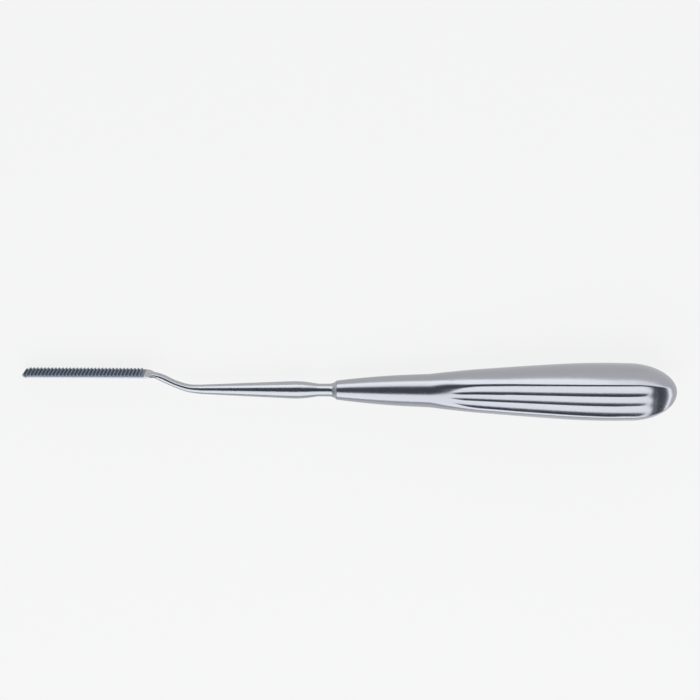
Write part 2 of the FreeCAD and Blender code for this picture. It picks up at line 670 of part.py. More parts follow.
def make_toothed_plate():
    body = new_body("toothed_plate")
    end = f"({step_place} - sizes.plateEndGap)"
    outline = blade_outline(body, "plate_outline", seat_level, end, False)
    pad_up(body, "plate", outline, "sizes.plateThickness + sizes.toothHeight")
    over = f"({tip_level} + 0.5)"
    foot = "sizes.toothLean"
    cut_across(body, "tail", [
        (last_tip, tip_level), (f"({last_tip} + {foot})", root_level),
        (f"({end} + 1)", root_level), (f"({end} + 1)", over), (last_tip, over)])
    bevel_nose(body)
    # One gap between two teeth: a steep face towards the handle and a long slope to the next tip.
    gap = cut_across(body, "tooth_gap", [
        (first_tip, tip_level), (f"({first_tip} + {foot})", root_level),
        (f"({first_tip} + sizes.toothPitch)", tip_level)])
    document.recompute()
    row = body.newObject("PartDesign::LinearPattern", "teeth")
    row.Originals = [gap]
    row.Direction = (gap.Profile[0], ["H_Axis"])
    row.Length = value_of("(sizes.toothCount - 2) * sizes.toothPitch")
    row.setExpression("Length", "(sizes.toothCount - 2) * sizes.toothPitch")
    row.Occurrences = int(value_of("sizes.toothCount")) - 1
    row.setExpression("Occurrences", "sizes.toothCount - 1")
    row.Refine = False
    body.Tip = row
    document.recompute()
    return body


def lowest_point(points, turn):
    """Lowest height of some points once they are turned about Y."""
    return min((turn.multVec(point)).z for point in points)


def lay_down(handle, others):
    """Turn and lift the instrument so that the grip and the blade both touch z = 0."""
    def corners(body):
        return body.Shape.tessellate(0.01)[0]

    grip_points = corners(handle)
    blade_points = [point for body in others for point in corners(body)]
    low, high = 0.0, 10.0
    for _ in range(40):
        tilt = (low + high) / 2
        turn = FreeCAD.Rotation(FreeCAD.Vector(0, 1, 0), -tilt)
        if lowest_point(blade_points, turn) > lowest_point(grip_points, turn):
            low = tilt
        else:
            high = tilt
    points = [turn.multVec(point) for point in grip_points + blade_points]
    middle = (min(p.x for p in points) + max(p.x for p in points)) / 2
    across = (min(p.y for p in points) + max(p.y for p in points)) / 2
    base = min(p.z for p in points)
    for body in [handle] + others:
        body.Placement = FreeCAD.Placement(FreeCAD.Vector(-middle, -across, -base), turn)
    print(f"tilt {tilt:.3f} degrees, mouth at x {-middle:.3f}, y {-across:.3f}, z {-base:.3f}")


handle = make_handle()
blade_shank = make_blade_shank()
toothed_plate = make_toothed_plate()
lay_down(handle, [blade_shank, toothed_plate])
document.recompute()

for item in document.Objects:
    if "Invalid" in item.State or "Error" in item.State:
        raise RuntimeError(f"{item.Label} failed: {item.State}")

os.makedirs("parts", exist_ok=True)
for body in (handle, blade_shank, toothed_plate):
    if body.Shape.isNull() or not body.Shape.isValid():
        raise RuntimeError(f"{body.Label} has no valid shape")
for body in (handle, blade_shank, toothed_plate):
    body.Shape.exportStep(os.path.join("parts", f"{body.Label}.step"))
    print(body.Label, len(body.Shape.Solids), "solid", round(body.Shape.Volume, 2), "mm3")
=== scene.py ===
import math
import bpy
import numpy as np
from mathutils import Matrix, Vector


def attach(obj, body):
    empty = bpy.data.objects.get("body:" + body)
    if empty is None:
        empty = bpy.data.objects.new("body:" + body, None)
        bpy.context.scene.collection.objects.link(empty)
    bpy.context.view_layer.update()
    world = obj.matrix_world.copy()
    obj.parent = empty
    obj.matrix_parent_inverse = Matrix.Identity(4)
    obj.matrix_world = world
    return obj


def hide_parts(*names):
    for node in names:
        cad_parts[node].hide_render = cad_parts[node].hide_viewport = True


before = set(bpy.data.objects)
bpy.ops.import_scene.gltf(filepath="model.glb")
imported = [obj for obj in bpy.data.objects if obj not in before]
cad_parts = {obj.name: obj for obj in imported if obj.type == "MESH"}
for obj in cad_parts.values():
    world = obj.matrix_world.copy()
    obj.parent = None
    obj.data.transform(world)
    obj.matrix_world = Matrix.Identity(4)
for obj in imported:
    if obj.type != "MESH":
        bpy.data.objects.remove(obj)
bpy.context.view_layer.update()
print("frame loaded")

# Everything is worked out along the instrument in millimetres: x = 0 at the mouth of the handle,
# +X to the butt, teeth to +Y, fluted panels to +Z and -Z. Then it is laid down as the solids are.
lay = {
    "tilt": 1.773,                  # degrees, blade end lower than the handle's axis
    "mouth": (-3.700, 0.0, 6.225),  # where the mouth's centre lies
}
perMetre = 1000                     # millimetres
quarterTurn = math.pi / 2


def layDown(points):
    # Turn about Y by the tilt, shift to the mouth's place, and go to metres.
    turn = math.radians(lay["tilt"])
    x, y, z = points[..., 0], points[..., 1], points[..., 2]
    mouth = lay["mouth"]
    laid = np.stack([x * math.cos(turn) - z * math.sin(turn) + mouth[0],
                     y + mouth[1],
                     x * math.sin(turn) + z * math.cos(turn) + mouth[2]], axis=-1)
    return laid / perMetre


def surface(name, rings, node, smoothAngle=30):
    # Skin a grid of rings (rings x points x 3). Each ring is closed, and the first and the last
    # one are filled with a fan to their middle.
    count, around = rings.shape[:2]
    middles = np.stack([rings[0].mean(axis=0), rings[-1].mean(axis=0)])
    points = layDown(np.concatenate([rings.reshape(-1, 3), middles]))
    step = np.arange(around)
    following = (step + 1) % around
    row = around * np.arange(count - 1).reshape(-1, 1)
    quads = np.stack([row + step, row + following, row + around + following, row + around + step],
                     axis=-1).reshape(-1, 4)
    lastRow = around * (count - 1)
    firstMiddle = np.full(around, around * count)
    firstFan = np.stack([firstMiddle, following, step], axis=-1)
    lastFan = np.stack([firstMiddle + 1, lastRow + step, lastRow + following], axis=-1)
    mesh = bpy.data.meshes.new(name)
    mesh.from_pydata(points.tolist(), [], quads.tolist() + firstFan.tolist() + lastFan.tolist())
    mesh.validate()
    mesh.polygons.foreach_set("use_smooth", np.ones(len(mesh.polygons), dtype=bool))
    mesh.update()
    mesh.set_sharp_from_angle(angle=math.radians(smoothAngle))
    piece = bpy.data.objects.new(name, mesh)
    bpy.context.scene.collection.objects.link(piece)
    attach(piece, "root")
    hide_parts(node)
    print(f"{name}: {len(mesh.polygons)} faces")
    return piece


def smoothCurve(places, values, wanted):
    # Cubic Hermite through the values at their places. Each inner slope is the one of the parabola
    # through three neighbours, and each end takes the slope of its own span.
    places = np.asarray(places, dtype=float)
    values = np.asarray(values, dtype=float)
    shape = (-1,) + (1,) * (values.ndim - 1)
    gap = np.diff(places).reshape(shape)
    rise = np.diff(values, axis=0) / gap
    inner = (rise[:-1] * gap[1:] + rise[1:] * gap[:-1]) / (gap[:-1] + gap[1:])
    slope = np.concatenate([rise[:1], inner, rise[-1:]])
    span = np.clip(np.searchsorted(places, wanted, side="right") - 1, 0, len(places) - 2)
    gap = gap[span]
    t = (wanted - places[span]).reshape(shape) / gap
    here, beyond = 2 * t ** 3 - 3 * t ** 2 + 1, 3 * t ** 2 - 2 * t ** 3
    leaving, arriving = t ** 3 - 2 * t ** 2 + t, t ** 3 - t ** 2
    return (here * values[span] + leaving * gap * slope[span]
            + beyond * values[span + 1] + arriving * gap * slope[span + 1])


def ease(t):
    # An S-curve from 0 to 1, level at both ends.
    t = np.clip(t, 0, 1)
    return t ** 2 * (3 - 2 * t)


handle = {
    "length": 108.81,
    "mouthRadius": 3.12,
    "rimRound": 0.12,            # small round on the rim of the mouth
    "ferrule": [(0.0, 3.12), (5.0, 3.70), (17.425, 4.81), (29.85, 5.40)],  # place, radius
    "bore": (1.52, 24.5),        # radius and depth of the socket
    "boreEnd": 0.02,             # radius at which its floor closes
    "domeLength": 15.4,
    "domeTipBulge": 1.04,        # both of the next two come down to it at the tip
    "domeBulges": (1.449, 12.0),  # side radius over half width, panel radius over half depth
    "panelFade": 4,              # how fast the panel's bulge goes, as a power of the dome's width
    # Share of the way from the waist to the dome: half width, half depth, side radius,
    # panel radius, half the panel's width.
    "stations": [
        (0.086, 6.00, 5.52, 6.5, 11.0, 2.50),
        (0.197, 6.72, 5.92, 7.4, 40.0, 3.40),
        (0.351, 7.42, 6.60, 8.85, 80.0, 4.05),
        (0.554, 8.29, 7.62, 10.35, 200.0, 4.55),
        (0.759, 8.93, 8.588, 12.1, 400.0, 4.95),
        (0.886, 9.028, 8.900, 13.05, 500.0, 5.12),
        (1.0, 8.94, 8.900, 12.95, 107.0, 5.12),
    ],
    "fluteHalfAngle": 24.0,      # degrees, half the arc of a flute's section
    "flutedShare": 0.96,         # share of the panel's width that the flutes take
    "arrisDrop": 0.04,           # how far the ridges between the flutes lie under the panel
    "fluteLeads": (-0.02, -0.02, 0.08),  # cutter over the panel at the shoulder, from -Y to +Y
    "fluteRunOut": 8.0,          # how far the flutes run on over the dome
    "fluteRunFall": 0.35,        # how much deeper the cutter stands there
    "cutterReach": 0.9,          # share of its radius with which the cutter cuts to each side
    "uncutHalf": 1.0,            # nothing is cut as near as this to the middle plane
    "arrisRound": 0.022,         # how softly neighbouring hollows meet
    "endRound": 0.24,            # the same where they run out over the dome
    "endRoundRun": 7.0,          # how far before the dome that softening starts
    "sidePoints": 12,
    "cornerPoints": 24,
    "cornerCrowding": 1.5,       # over 1, the corner's points crowd towards the panel
    "panelPoints": 30,
    "roundShare": 0.45,          # sine of what side and panel each take of a round section
    "rimPoints": 6,
    "ferruleRings": 80,
    "gripRings": 150,
    "domeRings": 46,
}


def quarterShares():
    # Even steps from 0 to 1 along the side, crowded ones along the corner, and even steps from the
    # panel's edge to its middle.
    side = np.linspace(0, 1, handle["sidePoints"], endpoint=False)
    corner = np.linspace(0, 1, handle["cornerPoints"], endpoint=False)
    panel = np.linspace(1, 0, handle["panelPoints"] + 1)
    return side, 1 - (1 - corner) ** handle["cornerCrowding"], panel


def quarterSection(halfWidth, halfDepth, sideRadius, panelRadius, panelHalf):
    # A quarter of a rounded square: an arc round the side, one for the corner that is tangent to
    # both of its neighbours, and one along the panel. Sizes are made columns, one row a section.
    sizes = halfWidth, halfDepth, sideRadius, panelRadius, panelHalf
    width, depth, flank, panel, edge = [np.asarray(size).reshape(-1, 1) for size in sizes]
    alongSide, alongCorner, alongPanel = quarterShares()
    lean = np.arcsin(edge / panel)
    normal = np.sin(lean), np.cos(lean)
    reach = flank - width + panel * normal[0], depth - panel + panel * normal[1]
    corner = ((reach[0] ** 2 + reach[1] ** 2 - flank ** 2)
              / (2 * (reach[0] * normal[0] + reach[1] * normal[1] - flank)))
    centre = (panel - corner) * normal[0], depth - panel + (panel - corner) * normal[1]
    rise = np.arctan2(centre[1], centre[0] + flank - width)
    turn = rise * alongSide
    side = np.stack([width - flank + flank * np.cos(turn), flank * np.sin(turn)], axis=-1)
    turn = rise + (quarterTurn - lean - rise) * alongCorner
    bend = np.stack([centre[0] + corner * np.cos(turn), centre[1] + corner * np.sin(turn)], axis=-1)
    turn = np.arcsin(edge * alongPanel / panel)
    flat = np.stack([panel * np.sin(turn), depth - panel + panel * np.cos(turn)], axis=-1)
    return np.concatenate([side, bend, flat], axis=1)


def circleQuarter(radius):
    # The same points on a quarter of a circle, so that the round ferrule skins into the grip.
    radius = np.asarray(radius).reshape(-1, 1)
    alongSide, alongCorner, alongPanel = quarterShares()
    share = handle["roundShare"]
    lean = math.asin(share)
    turn = np.concatenate([lean * alongSide, lean + (quarterTurn - 2 * lean) * alongCorner,
                           quarterTurn - np.arcsin(share * alongPanel)])
    return np.stack([radius * np.cos(turn), radius * np.sin(turn)], axis=-1)


def wholeSection(quarter):
    # Mirror a quarter to the other three, without doubling the points on the two axes.
    flip = np.array([-1.0, 1.0])
    upper = np.concatenate([quarter, quarter[:, -2::-1] * flip], axis=1)
    return np.concatenate([upper, upper[:, -2:0:-1] * -flip], axis=1)


def cutFlutes(places, sections, domeStart):
    # Each hollow is the underside of a long round cutter, whose radius and height follow the panel.
    # The skin takes whichever is lower, with a small round where two of them meet: both heights
    # are added, the root of their gap squared plus the round squared comes off, and the rest is
    # halved.
    waist = handle["ferrule"][-1][0]
    table = np.array(handle["stations"])
    table = np.concatenate([table, table[-1:]])
    stops = waist + table[:, 0] * (domeStart - waist)
    stops[-1] += handle["fluteRunOut"]
    depth, panel, half = table[:, 2], table[:, 4], table[:, 5]
    swing = math.radians(handle["fluteHalfAngle"])
    pitch = half * 2 / len(handle["fluteLeads"]) * handle["flutedShare"]
    radius = pitch / 2 / math.sin(swing)
    sink = radius * (1 - math.cos(swing)) + handle["arrisDrop"]
    sink[-1] += handle["fluteRunFall"]
    y = sections[..., 0]
    height = np.abs(sections[..., 1])
    inside = ((places > stops[0]) & (places < stops[-1])).reshape(-1, 1)
    early = handle["endRoundRun"]
    late = ease((places - domeStart + early) / (handle["fluteRunOut"] + early)).reshape(-1, 1)
    soft = handle["arrisRound"] + (handle["endRound"] - handle["arrisRound"]) * late
    cut = height
    for number, lead in zip((-1, 0, 1), handle["fluteLeads"]):
        sink[0] = -lead
        level = depth - (number * pitch) ** 2 / (2 * panel) - sink + radius
        r = smoothCurve(stops, radius, places).reshape(-1, 1)
        middle = number * smoothCurve(stops, pitch, places).reshape(-1, 1)
        top = smoothCurve(stops, level, places).reshape(-1, 1)
        away = np.abs(y - middle)
        hollow = top - np.sqrt(np.maximum(r ** 2 - away ** 2, 0))
        lower = (cut + hollow - np.sqrt((cut - hollow) ** 2 + soft ** 2)) / 2
        cut = np.where(inside & (away < handle["cutterReach"] * r), lower, cut)
    cut = np.where(height > handle["uncutHalf"], cut, height)
    sections[..., 1] = np.sign(sections[..., 1]) * cut
    return sections


def makeHandle():
    # One skin from the socket's floor over the ferrule and the fluted grip to the butt: a section
    # for each place along the axis.
    ferrule = np.array(handle["ferrule"])
    waist = ferrule[-1, 0]
    domeStart = handle["length"] - handle["domeLength"]
    table = np.array(handle["stations"])
    # Ferrule: a smooth curve through the listed radii, with a small round at the rim.
    arc = np.linspace(0, quarterTurn, handle["rimPoints"])
    rim = handle["rimRound"]
    edge = np.stack([rim * (1 - np.cos(arc)), handle["mouthRadius"] - rim * (1 - np.sin(arc))],
                    axis=-1)
    along = np.linspace(rim, waist, handle["ferruleRings"])[1:]
    radii = smoothCurve(ferrule[:, 0], ferrule[:, 1], along)
    bore, deep = handle["bore"]
    socket = np.array([[deep, handle["boreEnd"]], [deep, bore], [0.0, bore]])
    profile = np.concatenate([socket, edge, np.stack([along, radii], axis=-1)])
    # Grip: the round waist, the listed sections and the start of the dome, joined smoothly.
    stops = np.concatenate([[waist], waist + table[:, 0] * (domeStart - waist)])
    knots = np.concatenate([circleQuarter(ferrule[-1, 1]), quarterSection(*table.T[1:])])
    gripPlaces = np.linspace(waist, domeStart, handle["gripRings"])[1:]
    grip = smoothCurve(stops, knots, gripPlaces)
    # Dome: an ellipse in both side views, whose flats fade towards the round tip.
    angle = np.linspace(0, quarterTurn, handle["domeRings"])[1:-1]
    fade = np.cos(angle)
    width, depth, panelHalf = (table[-1, column] * fade for column in (1, 2, 5))
    tip = handle["domeTipBulge"]
    sideBulge, panelBulge = handle["domeBulges"]
    sideRadius = width * (tip + (sideBulge - tip) * fade)
    panelRadius = depth * (tip + (panelBulge - tip) * fade ** handle["panelFade"])
    dome = quarterSection(width, depth, sideRadius, panelRadius, panelHalf)
    domePlaces = domeStart + handle["domeLength"] * np.sin(angle)
    places = np.concatenate([profile[:, 0], gripPlaces, domePlaces])
    sections = wholeSection(np.concatenate([circleQuarter(profile[:, 1]), grip, dome]))
    sections = cutFlutes(places, sections, domeStart)
    x = np.broadcast_to(places.reshape(-1, 1, 1), sections.shape[:2] + (1,))
    rings = np.concatenate([x, sections], axis=-1)
    return surface("fluted_handle", rings, "handle")


shank = {
    "tang": (1.50, 24.0),          # radius and length, inside the handle
    "tangEnd": 0.02,               # radius at which its end closes
    "rim": 3.12,                   # the shoulder that closes the mouth
    "rimBreak": (0.06, 0.02, 0.015),  # its edge: drop at the mouth, run, drop at the end of the run
    "sweepRadius": 3.8,            # from the shoulder down to the neck
    "sweepShare": 0.985,           # how much of that arc is left by the broken edge
    "neck": 2.07,                  # radius
    "hollowRadius": 6.0,
    "bulb": 2.83,                  # radius
    "crownRadius": 35.0,
    "fallAngle": 9.0,              # degrees, bulb to neck
    "taperAngle": 2.52,            # degrees, bend to bulb
    "start": (44.0, 1.52),         # where the round shank begins, and its radius there
    "bendAngle": 25.0,
    "bendRadii": (18.0, 6.0),      # at the shank and at the blade
    "barHalf": (1.50, 0.92, 0.71),  # half width, half thickness in the bend and at its foot
    "barShrink": (0.5, 0.25),      # thinning still to do half-way round the bend and at its end
    "barPower": 2.25,              # 2 is an ellipse, more is fuller
    "rootInset": 0.04,             # how far the bar's end lies inside the blade
    "around": 96,
    "arcPoints": (16, 6, 34),      # on the sweep, the hollow and the crown
    "taperPoints": 40,
    "barRings": 60,
}


def bendPlaces():
    # Where the bar leaves the shank, runs straight, and meets the blade, as in the solids. Each
    # bend rises by its radius times 1 - cos of the angle, and the straight run has what is left.
    angle = math.radians(shank["bendAngle"])
    low, high = shank["bendRadii"]
    core = blade["rise"] + (blade["thickness"] + teeth["thickness"]) / 2
    drop = core - (low + high) * (1 - math.cos(angle))
    lowerEnd = -shank["start"][0]
    straightLow = lowerEnd - low * math.sin(angle)
    straightHigh = straightLow - drop / math.tan(angle)
    start = straightHigh - high * math.sin(angle)
    end = start + blade["overlap"]
    return {"core": core, "drop": drop, "lowerEnd": lowerEnd, "straightLow": straightLow,
            "straightHigh": straightHigh, "start": start, "end": end, "nose": end - blade["length"]}


def arcPoints(centre, size, first, final, steps):
    # Even steps of angle round the centre.
    turn = np.linspace(first, final, steps)
    return np.stack([centre[0] + size * np.cos(turn), centre[1] + size * np.sin(turn)], axis=-1)


def shankProfile():
    # Half outline of the turned part, each arc tangent to its neighbours: tang, seat, sweep, the
    # neck's hollow, a straight fall, the bulb's crown and the taper.
    taper = math.radians(shank["taperAngle"])
    fall = math.radians(shank["fallAngle"])
    length, radius = shank["start"]
    crown, hollow, sweep = shank["crownRadius"], shank["hollowRadius"], shank["sweepRadius"]
    neck, rim = shank["neck"], shank["rim"]
    level = shank["bulb"] - crown
    riseY = level + crown * math.cos(taper)
    crownX = -length + (riseY - radius) / math.tan(taper) + crown * math.sin(taper)
    fallX, fallY = crownX + crown * math.sin(fall), level + crown * math.cos(fall)
    hollowY = neck + hollow * (1 - math.cos(fall))
    hollowX = fallX + (fallY - hollowY) / math.tan(fall) + hollow * math.sin(fall)
    swing = math.acos(1 - (rim - neck) / sweep)
    tangRadius, tangLength = shank["tang"]
    mouthDrop, breakRun, breakDrop = shank["rimBreak"]
    sweepPoints, hollowPoints, crownPoints = shank["arcPoints"]
    top, bottom = quarterTurn, 3 * quarterTurn
    return np.concatenate([
        [[tangLength, shank["tangEnd"]], [tangLength, tangRadius], [0.0, tangRadius],
         [0.0, rim - mouthDrop], [-breakRun, rim - breakDrop]],
        arcPoints((-sweep * math.sin(swing), neck + sweep), sweep,
                  bottom + swing * shank["sweepShare"], bottom, sweepPoints),
        arcPoints((hollowX, neck + hollow), hollow, bottom, bottom - fall, hollowPoints),
        arcPoints((crownX, level), crown, top - fall, top + taper, crownPoints),
        np.linspace((crownX - crown * math.sin(taper), riseY), (-length, radius),
                    shank["taperPoints"])[1:]])


def ovalSection(width, depth, turn, power):
    # |y / depth| and |z / width|, each to the power, add up to 1.
    share = 2 / power
    y = depth * np.sign(np.cos(turn)) * np.abs(np.cos(turn)) ** share
    z = width * np.sign(np.sin(turn)) * np.abs(np.sin(turn)) ** share
    return y, z


def makeShank():
    # Turned rings about the axis, then the bar's ovals carried along the bend, each square to the
    # path, and the last one hidden in the blade.
    at = bendPlaces()
    profile = shankProfile()
    turn = np.linspace(0, 2 * math.pi, shank["around"], endpoint=False)
    x = np.broadcast_to(profile[:, :1], (len(profile), len(turn)))
    turned = np.stack([x, profile[:, 1:] * np.cos(turn), profile[:, 1:] * np.sin(turn)], axis=-1)
    angle = math.radians(shank["bendAngle"])
    half = angle / 2
    low, high = shank["bendRadii"]
    lift = low * (1 - math.cos(angle))
    width, thick, foot = shank["barHalf"]
    size = shank["start"][1]
    shrinkHalf, shrinkLow = shank["barShrink"]
    root = (blade["thickness"] + teeth["thickness"]) / 2 - shank["rootInset"]
    full = shank["barPower"]
    knots = [  # place, height, slope, half width, half thickness, power
        (at["lowerEnd"], 0.0, 0.0, size, size, 2.0),
        (at["lowerEnd"] - low * math.sin(half), low * (1 - math.cos(half)), half,
         width, thick + (size - thick) * shrinkHalf, full),
        (at["straightLow"], lift, angle, width, thick + (size - thick) * shrinkLow, full),
        (at["straightHigh"], lift + at["drop"], angle, width, thick, full),
        (at["start"] + high * math.sin(half), at["core"] - high * (1 - math.cos(half)), half,
         width, foot, full),
        (at["start"], at["core"], 0.0, width, root, full),
    ]
    sections = []
    for place, height, slope, wide, deep, power in knots:
        y, z = ovalSection(wide, deep, turn, power)
        sections.append(np.stack([place + y * math.sin(slope), height + y * math.cos(slope), z],
                                 axis=-1))
    sections = np.array(sections)
    strides = np.linalg.norm(np.diff(sections.mean(axis=1), axis=0), axis=1)
    run = np.concatenate([[0.0], np.cumsum(strides)])
    bar = smoothCurve(run, sections, np.linspace(0, run[-1], shank["barRings"])[1:])
    rings = np.concatenate([turned, bar])[:, ::-1]
    return surface("turned_shank", rings, "blade_shank")


blade = {
    "rise": 4.80,                  # from the shank's axis to the flat back
    "width": 6.3,
    "overlap": 1.9,                # how far the blade reaches over the bend, as the solid does
    "length": 42.8,
    "noseRadius": 3.5,
    "noseLand": 0.15,              # height of the upright edge under the nose's bevel
    "follow": 2.4,                 # how much further it follows the bar down here
    "taperRun": 5.2,               # how far the blade's end narrows into the bar
    "endHalf": 1.0,                # half width where it ends inside the bar
    "topFall": (0.30, 3.6),        # how far the top comes down behind the teeth, over what run
    "endRound": 0.36,              # rounding of its edges there
    "thickness": 0.55,
    "edgeRound": 0.09,
    "noseRings": (0.006, 2.0, 26),  # first one past the nose, run of the crowded ones, how many
    "flatRings": (2.1, 0.3, 60),   # first one past the nose, last one before the step, how many
    "stepRings": (-0.02, -0.005, 0.005, 0.03),  # places from the step
    "endRings": (0.1, 64),         # first one past the step, how many
}

slab = {
    "cornerPoints": 5,
    "acrossPoints": 15,
    "widthShare": 0.6,             # an edge's round takes no more of the half width than this
    "depthShare": 0.45,            # nor more of the thickness than this
}


def bladeHeights():
    # Heights of the seat, the teeth's roots and tips, and the land at the nose, and how far the
    # bevel from that land to the first tip runs for each millimetre that it climbs.
    seat = blade["rise"] + blade["thickness"]
    root = seat + teeth["thickness"]
    tip = root + teeth["height"]
    land = blade["rise"] + blade["noseLand"]
    return seat, root, tip, land, teeth["first"] / (tip - land)


def planHalfWidth(x, nose):
    # Half the width at x, for blade and plate: the arc of the nose, then the straight side.
    radius = blade["noseRadius"]
    arc = np.sqrt(np.maximum(radius ** 2 - np.maximum(nose + radius - x, 0) ** 2, 0))
    return np.minimum(arc, blade["width"] / 2)


def bendDrop(x, start):
    # How far the bar has come down past the blade: its bend's arc, then the straight slope.
    angle = math.radians(shank["bendAngle"])
    high = shank["bendRadii"][1]
    run = np.maximum(x - start, 0)
    turned = np.minimum(run, high * math.sin(angle))
    return high - np.sqrt(high ** 2 - turned ** 2) + (run - turned) * math.tan(angle)


def slabRings(x, halfWidth, low, high, edgeRound):
    # A slab carried along x: each ring is a rectangle from low to high with four rounded edges.
    arc = np.linspace(0, quarterTurn, slab["cornerPoints"])
    r = np.minimum(edgeRound, np.minimum(halfWidth * slab["widthShare"],
                                         (high - low) * slab["depthShare"]))[:, None]
    flat = halfWidth[:, None] - r
    across = np.linspace(1, -1, slab["acrossPoints"])[1:-1]
    topY, lowY = high[:, None], low[:, None]
    z = np.concatenate([
        flat + r * np.cos(arc), flat * across, -flat - r * np.sin(arc),
        -flat - r * np.cos(arc), flat * across[::-1], flat + r * np.sin(arc)], axis=1)
    y = np.concatenate([
        topY - r + r * np.sin(arc), np.repeat(topY, len(across), axis=1),
        topY - r + r * np.cos(arc), lowY + r - r * np.sin(arc),
        np.repeat(lowY, len(across), axis=1), lowY + r - r * np.cos(arc)], axis=1)
    return np.stack([np.broadcast_to(x[:, None], y.shape), y, z], axis=-1)


def makeBlade():
    # The blank: a slab whose top steps up behind the teeth and whose end narrows, rounds off and
    # follows the bar down. Its rings are close where the nose, the step and the end turn fast.
    at = bendPlaces()
    nose, end = at["nose"], at["end"] + blade["follow"]
    step = (nose + teeth["first"] + (teeth["count"] - 1) * teeth["pitch"]
            + teeth["tail"] + teeth["endGap"])
    noseStart, noseRun, noseCount = blade["noseRings"]
    flatStart, flatEnd, flatCount = blade["flatRings"]
    endStart, endCount = blade["endRings"]
    arc = np.linspace(0, quarterTurn, noseCount)
    x = np.unique(np.concatenate([
        nose + noseStart + noseRun * (1 - np.cos(arc)),
        np.linspace(nose + flatStart, step - flatEnd, flatCount),
        step + np.array(blade["stepRings"]),
        np.linspace(step + endStart, end, endCount)]))
    seat, root, _, land, bevel = bladeHeights()
    top = np.minimum(np.where(x < step, seat, root), land + (x - nose) / bevel)
    fall, fallRun = blade["topFall"]
    top = top - fall * np.clip((x - step) / fallRun, 0, 1)
    ending = ease((x - (end - blade["taperRun"])) / blade["taperRun"])
    full = blade["width"] / 2
    halfWidth = np.minimum(planHalfWidth(x, nose), full - (full - blade["endHalf"]) * ending)
    edge = blade["edgeRound"] + (blade["endRound"] - blade["edgeRound"]) * ending
    drop = bendDrop(x, at["start"])
    rings = slabRings(x, halfWidth, blade["rise"] - drop, top - drop, edge)
    return surface("flat_blade", rings[:, ::-1], "blade_shank")


teeth = {
    "thickness": 0.30,             # under the roots
    "height": 0.55,
    "pitch": 1.17,
    "count": 33,
    "first": 1.1,                  # nose to the first tooth
    "tail": 1.2,                   # last tooth to the plate's end
    "endGap": 0.03,                # plate's end to the step
    "lean": 0.14,                  # run of the steep face, from tip to root
    # A tooth's points: share of the lean, run past it, share of the height, height over that.
    "profile": [
        (0.0, -0.035, 1.0, -0.004),
        (0.0, 0.0, 1.0, -0.004),
        (0.5, 0.0, 0.5, 0.0),
        (1.0, 0.0, 0.0, 0.0),
        (1.0, 0.04, 0.0, 0.012),
        (1.0, 0.35, 0.34, 0.0),
        (1.0, 0.70, 0.68, 0.0),
    ],
    "slopePoints": 3,              # how many of them climb to the next tip
    "bevelRings": (0.012, 0.97, 12),  # shares of the bevel's run between which its rings lie
    "tailStart": 0.05,             # last root to the flat tail
    "endBreak": (0.02, 0.03),      # run and drop of the edge at the plate's end
    "edgeRound": 0.05,
    "clearance": (0.005, 0.003),   # inside the blade's sides, and over the seat
}


def makeTeeth():
    # The toothed plate: along x the top falls steeply from each tip to its root and climbs in a
    # long slope to the next tip.
    nose = bendPlaces()["nose"]
    seat, root, tip, land, bevel = bladeHeights()
    first = nose + teeth["first"]
    tips = first + teeth["pitch"] * np.arange(teeth["count"])
    leanShare, past, heightShare, over = np.array(teeth["profile"]).T
    offsets = teeth["lean"] * leanShare + past
    x = (tips[:, None] + offsets).ravel()
    y = np.tile(root + (tip - root) * heightShare + over, len(tips))
    # Before the first tooth the bevel climbs out of the seat, after the last the tail is flat.
    start = nose + (seat - land) * bevel
    bevelFrom, bevelTo, bevelCount = teeth["bevelRings"]
    bevelX = start + (first + offsets[0] - start) * np.linspace(bevelFrom, bevelTo, bevelCount)
    bevelY = land + (bevelX - nose) / bevel
    end = tips[-1] + teeth["tail"]
    endRun, endDrop = teeth["endBreak"]
    tail = [tips[-1] + teeth["lean"] + teeth["tailStart"], end - endRun, end]
    x = np.concatenate([bevelX, x[:-teeth["slopePoints"]], tail])
    y = np.concatenate([bevelY, y[:-teeth["slopePoints"]], [root, root, root - endDrop]])
    inset, lift = teeth["clearance"]
    rings = slabRings(x, planHalfWidth(x, nose) - inset, np.full_like(x, seat + lift), y,
                      teeth["edgeRound"])
    return surface("toothed_plate_strip", rings[:, ::-1], "toothed_plate",
                   smoothAngle=20)


class Signal:
    # One socket of a material. Python's operators add the Math nodes.
    def __init__(self, finish, socket):
        self.finish = finish
        self.socket = socket

    def math(self, operation, first, second):
        return self.finish.add("ShaderNodeMath", {"operation": operation}, {0: first, 1: second})

    def __add__(self, other):
        return self.math("ADD", self, other)

    def __mul__(self, other):
        return self.math("MULTIPLY", self, other)

    __radd__ = __add__
    __rmul__ = __mul__


